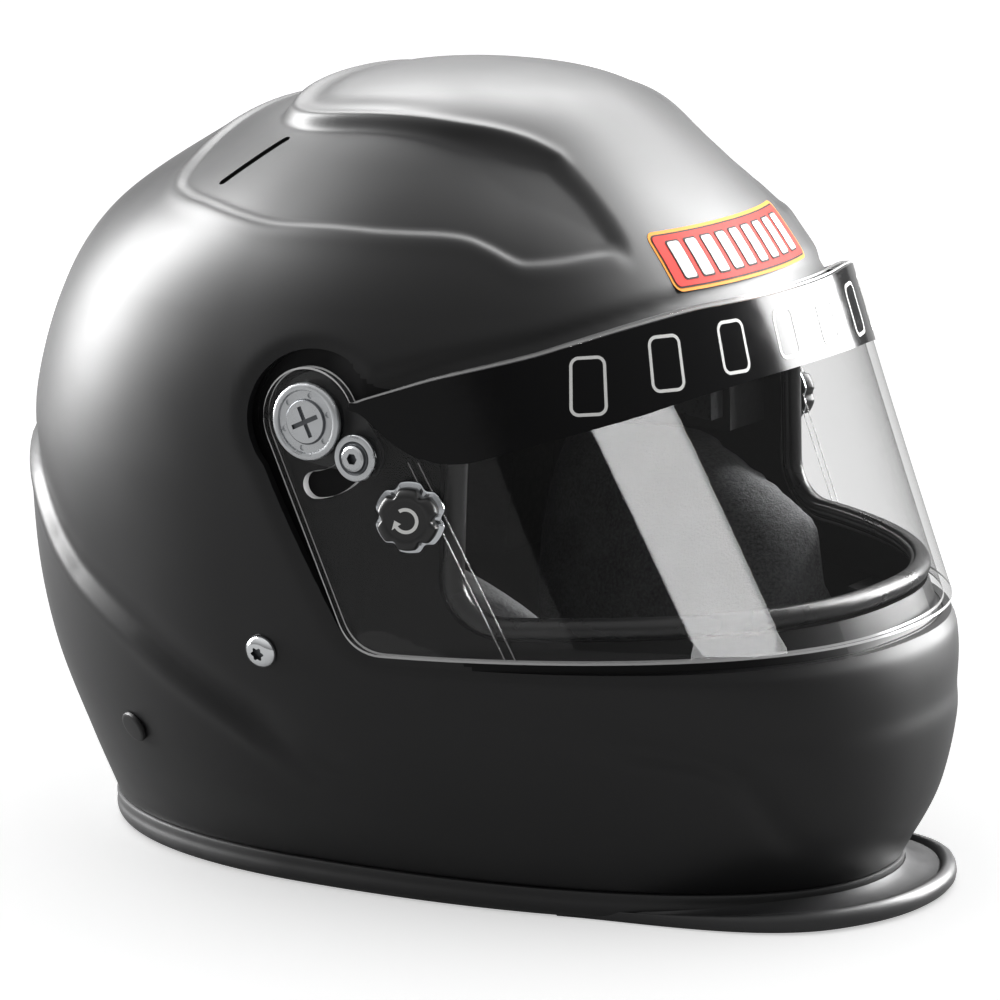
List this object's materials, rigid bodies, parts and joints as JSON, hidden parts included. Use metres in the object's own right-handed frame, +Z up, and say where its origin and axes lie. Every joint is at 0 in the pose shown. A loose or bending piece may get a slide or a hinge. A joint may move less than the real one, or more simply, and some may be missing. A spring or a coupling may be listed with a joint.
{
  "type": "auto racing helmet",
  "caption": "Full-face racing helmet with a clear swinging visor, dark sun strip, quarter-turn visor locks, padded liner, chin spoiler and a double-ring chin strap.",
  "frame": {"origin": "centre of the bounding box's base, on the surface that the helmet stands on", "axes": "+X forward, out of the eye port; +Y to the wearer's left; +Z up"},
  "size_m": [0.3281, 0.2686, 0.266],
  "materials": {
    "shell_black": "matte black gelcoat over composite",
    "rubber_black": "soft matte",
    "spoiler_black": "semi-gloss moulded",
    "foam_grey": "moulded polystyrene foam",
    "pad_grey": "brushed fleece over foam",
    "comfort_grey": "quilted knit over foam",
    "visor_clear": "clear polycarbonate, polished",
    "strip_black": "gloss film",
    "plate_black": "moulded",
    "metal_silver": "turned and satin anodised",
    "knob_black": "moulded",
    "ring_light": "moulded, light grey",
    "screw_steel": "polished stainless",
    "fitting_steel": "zinc plated",
    "webbing_black": "woven aramid webbing"
  },
  "bodies": {
    "helmet": {"outer_shell": "shell_black", "eye_port_gasket": "rubber_black", "bottom_trim": "rubber_black", "chin_spoiler": "spoiler_black", "impact_liner": "foam_grey", "chin_bar_liner": "foam_grey", "comfort_liner": "comfort_grey", "cheek_pad_left": "pad_grey", "cheek_pad_right": "pad_grey", "neck_roll": "pad_grey", "pivot_plates": "plate_black", "pivot_caps": "metal_silver", "guide_screws": "metal_silver", "strap_tabs": "fitting_steel", "strap_screws": "screw_steel", "strap_nuts": "fitting_steel", "anchor_inserts": "fitting_steel", "anchor_plugs": "shell_black", "strap_left": "webbing_black", "strap_right": "webbing_black", "strap_snap": "fitting_steel"},
    "visor": {"visor": "visor_clear", "sun_strip": "strip_black", "knob_rings": "ring_light"},
    "lock_knob_left": {"lock_knob_left": "knob_black"},
    "lock_knob_right": {"lock_knob_right": "knob_black"},
    "d_ring_outer": {"d_ring_outer": "screw_steel"},
    "d_ring_inner": {"d_ring_inner": "screw_steel"}
  },
  "joints": [
    {"name": "visor_hinge", "type": "hinge", "parent": "helmet", "child": "visor", "pos_m": [0.006, 0, 0.167], "axis": [0, -1, 0], "range_deg": [0, 55]},
    {"name": "lock_knob_left_turn", "type": "hinge", "parent": "visor", "child": "lock_knob_left", "pos_m": [0.041, 0.12386, 0.139], "axis": [0.3297, 0.9438, 0.0241], "range_deg": [0, 90]},
    {"name": "lock_knob_right_turn", "type": "hinge", "parent": "visor", "child": "lock_knob_right", "pos_m": [0.041, -0.12386, 0.139], "axis": [0.3297, -0.9438, 0.0241], "range_deg": [0, 90]},
    {"name": "d_ring_outer_swing", "type": "hinge", "parent": "helmet", "child": "d_ring_outer", "pos_m": [-0.015, 0.033, 0.048], "axis": [-1, 0, 0], "range_deg": [0, 60]},
    {"name": "d_ring_inner_swing", "type": "hinge", "parent": "helmet", "child": "d_ring_inner", "pos_m": [-0.015, 0.039, 0.048], "axis": [1, 0, 0], "range_deg": [0, 35]}
  ]
}
